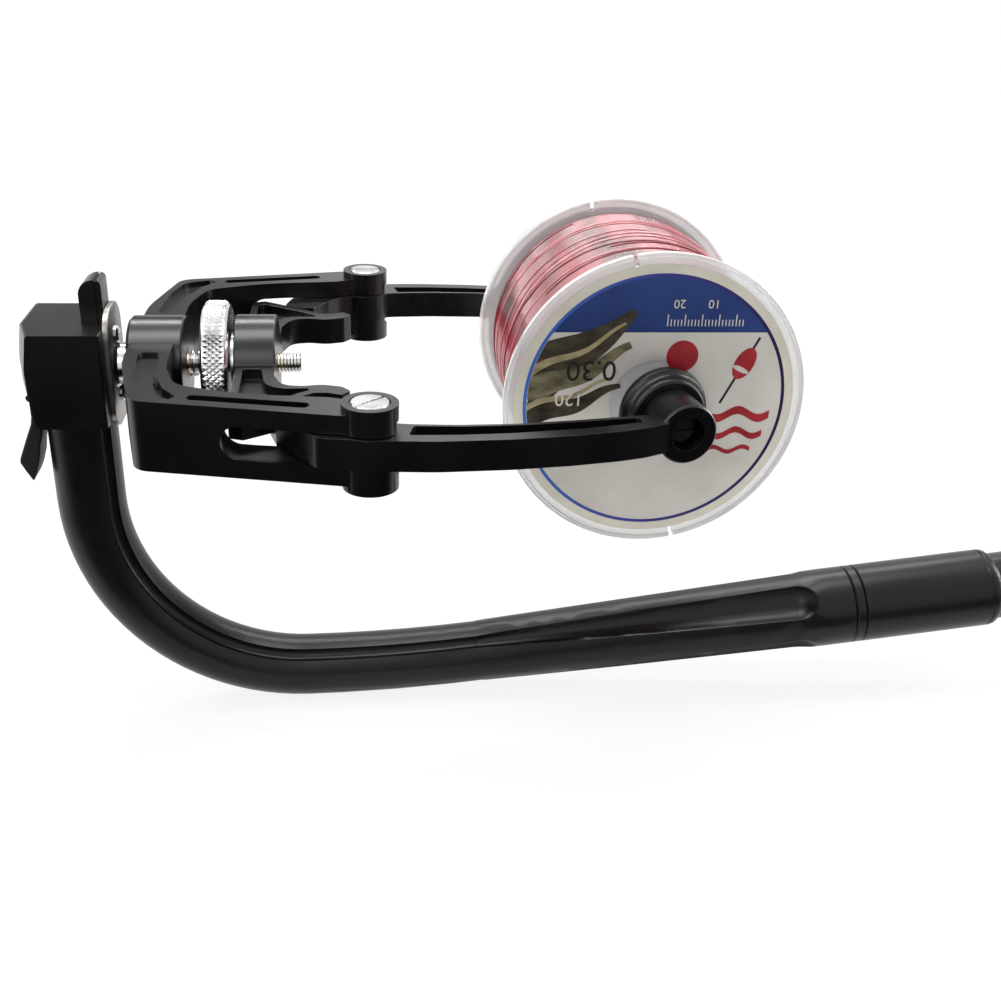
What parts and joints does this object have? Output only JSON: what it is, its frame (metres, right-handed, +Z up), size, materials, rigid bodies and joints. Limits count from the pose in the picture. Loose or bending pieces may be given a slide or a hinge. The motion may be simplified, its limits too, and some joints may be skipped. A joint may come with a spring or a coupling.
{
  "type": "fishing line winder",
  "caption": "Hand-held line winder: a J-shaped handle with a saddle block and stud, a swivelling C-shaped yoke, and two hinged fingers that hold a line spool between plugs.",
  "frame": {"origin": "centre of the saddle block's flat rest face, on the axis of the stud", "axes": "+X along the stud from the rest face towards the spool, +Y along the spool's axis, +Z up, away from the handle"},
  "size_m": [0.3444, 0.1446, 0.1662],
  "materials": {
    "arm_moulding": "gloss, moulded",
    "black_gloss": "gloss",
    "moulding": "satin, moulded",
    "strap_rubber": "matt",
    "steel": "bright zinc",
    "dark_steel": "blackened",
    "bush": "plain",
    "slip": "smooth",
    "clear": "clear plastic",
    "core": "moulded",
    "line": "red monofilament",
    "label": "printed film"
  },
  "bodies": {
    "base": {"j_arm": "arm_moulding", "butt_sleeve": "black_gloss", "butt_cap": "black_gloss", "saddle_block": "moulding", "rod_strap": "strap_rubber", "strap_pin": "steel", "strap_hook": "moulding", "flange_plate": "steel", "flange_screws": "steel", "stud": "steel", "drag_spring": "steel"},
    "yoke": {"yoke_frame": "moulding", "yoke_bush": "bush", "pivot_screws": "steel", "pivot_nuts": "steel", "finger_springs": "steel"},
    "wheel_carrier": {"thrust_washer": "slip"},
    "wheel": {"knurled_wheel": "steel"},
    "bracket": {"slider_bracket": "moulding", "slider_bush": "bush"},
    "near_finger_body": {"near_finger": "moulding", "near_axle": "dark_steel"},
    "far_finger_body": {"far_finger": "moulding", "far_axle": "dark_steel"},
    "near_plug_body": {"near_plug": "slip"},
    "far_plug_body": {"far_plug": "slip"},
    "spool": {"spool_core": "core", "near_flange": "clear", "far_flange": "clear", "line_winding": "line", "near_label": "label", "far_label": "label"}
  },
  "joints": [
    {"name": "yoke_swivel", "type": "hinge", "parent": "base", "child": "yoke", "pos_m": [0.04, 0, 0], "axis": [1, 0, 0], "continuous": true},
    {"name": "wheel_travel", "type": "slide", "parent": "base", "child": "wheel_carrier", "axis": [1, 0, 0], "range_m": [-0.003, 0], "deforming": ["drag_spring"]},
    {"name": "wheel_spin", "type": "hinge", "parent": "wheel_carrier", "child": "wheel", "pos_m": [0.058, 0, 0], "axis": [1, 0, 0], "range_deg": [-1080, 0]},
    {"name": "bracket_slide", "type": "slide", "parent": "yoke", "child": "bracket", "axis": [1, 0, 0], "range_m": [-0.003, 0]},
    {"name": "near_finger_swing", "type": "hinge", "parent": "yoke", "child": "near_finger_body", "pos_m": [0.103, -0.0636, 0], "axis": [0, 0, 1], "range_deg": [-10.31, 0]},
    {"name": "far_finger_swing", "type": "hinge", "parent": "yoke", "child": "far_finger_body", "pos_m": [0.103, 0.0636, 0], "axis": [0, 0, 1], "range_deg": [0, 10.31]},
    {"name": "spool_spin", "type": "hinge", "parent": "yoke", "child": "spool", "pos_m": [0.186, 0, 0], "axis": [0, 1, 0], "continuous": true},
    {"name": "near_plug_spin", "type": "hinge", "parent": "near_finger_body", "child": "near_plug_body", "pos_m": [0.18756, -0.04486, 0], "axis": [-0.1736, 0.9848, 0], "continuous": true},
    {"name": "far_plug_spin", "type": "hinge", "parent": "far_finger_body", "child": "far_plug_body", "pos_m": [0.18756, 0.04486, 0], "axis": [0.1736, 0.9848, 0], "continuous": true}
  ],
  "couplings": [
    {"joint": "wheel_travel", "follows": "wheel_spin", "m_per_rad": 0.00015915},
    {"joint": "bracket_slide", "follows": "wheel_spin", "m_per_rad": 0.00015915},
    {"joint": "near_finger_swing", "follows": "wheel_spin", "ratio": 0.0095483},
    {"joint": "far_finger_swing", "follows": "wheel_spin", "ratio": -0.0095483},
    {"joint": "near_plug_spin", "follows": "spool_spin", "ratio": 1},
    {"joint": "far_plug_spin", "follows": "spool_spin", "ratio": 1}
  ]
}
